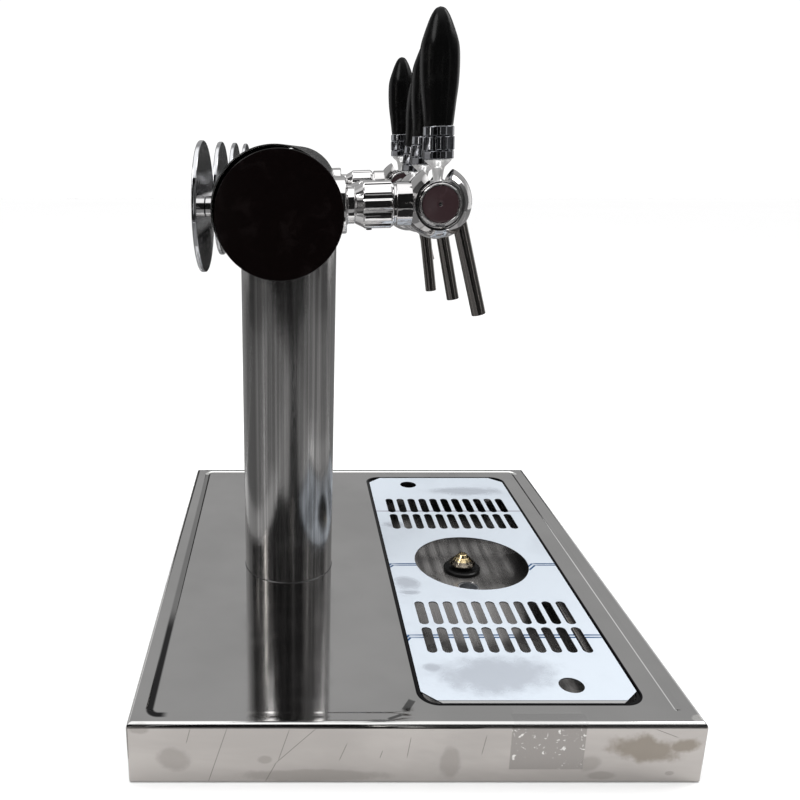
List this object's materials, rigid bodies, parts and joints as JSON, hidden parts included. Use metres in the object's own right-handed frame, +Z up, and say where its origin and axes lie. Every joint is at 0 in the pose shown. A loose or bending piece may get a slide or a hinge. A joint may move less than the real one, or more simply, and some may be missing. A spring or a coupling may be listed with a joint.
{
  "type": "draft beer dispenser",
  "caption": "T-shaped stainless draft beer tower with lever taps and badge holders on a drip deck with a lift-out grille and glass rinser.",
  "frame": {"origin": "on the counter, under the middle of the deck", "axes": "+X from the column towards the drip grille, the way the taps point; +Y along the deck's long side and, but for the tower's small turn, along the bar; +Z up"},
  "size_m": [0.5, 0.6, 0.6376],
  "materials": {
    "deck_steel": "polished stainless sheet",
    "pan_steel": "polished stainless sheet",
    "tower_steel": "mirror-polished stainless tube",
    "grille_film": "stainless plate under pale protective film",
    "chrome": "bright chrome plate",
    "cap_chrome": "bright chrome plate",
    "spout_chrome": "bright chrome plate, dark in reflection",
    "black_gloss": "glossy",
    "black_grip": "glossy",
    "black_rubber": "satin",
    "brass": "polished",
    "zinc_steel": "zinc-plated",
    "clear_line": "translucent hose"
  },
  "bodies": {
    "dispenser": {"deck": "deck_steel", "drip_pan": "pan_steel", "drain_spigot": "zinc_steel", "rinser_base": "black_rubber", "column_tube": "tower_steel", "column_base_collar": "zinc_steel", "column_clamp_nut": "zinc_steel", "bar_tube": "tower_steel", "end_cap_near": "black_gloss", "end_cap_far": "black_gloss", "tap_1_shank": "chrome", "tap_1_back_nut": "zinc_steel", "tap_1_collar": "chrome", "tap_1_body": "chrome", "tap_1_spout": "spout_chrome", "tap_1_side_cap": "cap_chrome", "badge_1_stud": "chrome", "badge_1_disc": "chrome", "beer_line_1": "clear_line", "tap_2_shank": "chrome", "tap_2_back_nut": "zinc_steel", "tap_2_collar": "chrome", "tap_2_body": "chrome", "tap_2_spout": "spout_chrome", "tap_2_side_cap": "cap_chrome", "badge_2_stud": "chrome", "badge_2_disc": "chrome", "beer_line_2": "clear_line", "tap_3_shank": "chrome", "tap_3_back_nut": "zinc_steel", "tap_3_collar": "chrome", "tap_3_body": "chrome", "tap_3_spout": "spout_chrome", "tap_3_side_cap": "cap_chrome", "badge_3_stud": "chrome", "badge_3_disc": "chrome", "beer_line_3": "clear_line", "tap_4_shank": "chrome", "tap_4_back_nut": "zinc_steel", "tap_4_collar": "chrome", "tap_4_body": "chrome", "tap_4_spout": "spout_chrome", "tap_4_side_cap": "cap_chrome", "badge_4_stud": "chrome", "badge_4_disc": "chrome", "beer_line_4": "clear_line"},
    "handle_1": {"tap_1_lever": "chrome", "tap_1_ferrule": "chrome", "tap_1_grip": "black_grip"},
    "handle_2": {"tap_2_lever": "chrome", "tap_2_ferrule": "chrome", "tap_2_grip": "black_grip"},
    "handle_3": {"tap_3_lever": "chrome", "tap_3_ferrule": "chrome", "tap_3_grip": "black_grip"},
    "handle_4": {"tap_4_lever": "chrome", "tap_4_ferrule": "chrome", "tap_4_grip": "black_grip"},
    "grille": {"drip_grille": "grille_film"},
    "nozzle": {"rinser_nozzle": "brass"}
  },
  "joints": [
    {"name": "tap_1_lever_swing", "type": "hinge", "parent": "dispenser", "child": "handle_1", "pos_m": [0.01268, -0.19722, 0.48888], "axis": [0.0488, 0.9988, 0], "range_deg": [-12, 12]},
    {"name": "tap_2_lever_swing", "type": "hinge", "parent": "dispenser", "child": "handle_2", "pos_m": [0.0188, -0.07337, 0.48266], "axis": [0.0488, 0.9988, 0], "range_deg": [-12, 12]},
    {"name": "tap_3_lever_swing", "type": "hinge", "parent": "dispenser", "child": "handle_3", "pos_m": [0.02441, 0.0505, 0.47346], "axis": [0.0488, 0.9988, 0], "range_deg": [-12, 12]},
    {"name": "tap_4_lever_swing", "type": "hinge", "parent": "dispenser", "child": "handle_4", "pos_m": [0.03086, 0.17433, 0.48888], "axis": [0.0488, 0.9988, 0], "range_deg": [-12, 12]},
    {"name": "grille_lift", "type": "slide", "parent": "dispenser", "child": "grille", "axis": [0, 0, 1], "range_m": [0, 0.08]},
    {"name": "rinser_press", "type": "slide", "parent": "dispenser", "child": "nozzle", "axis": [0, 0, -1], "range_m": [0, 0.004], "stiffness_N_per_m": 1000, "springref_m": -0.004}
  ]
}
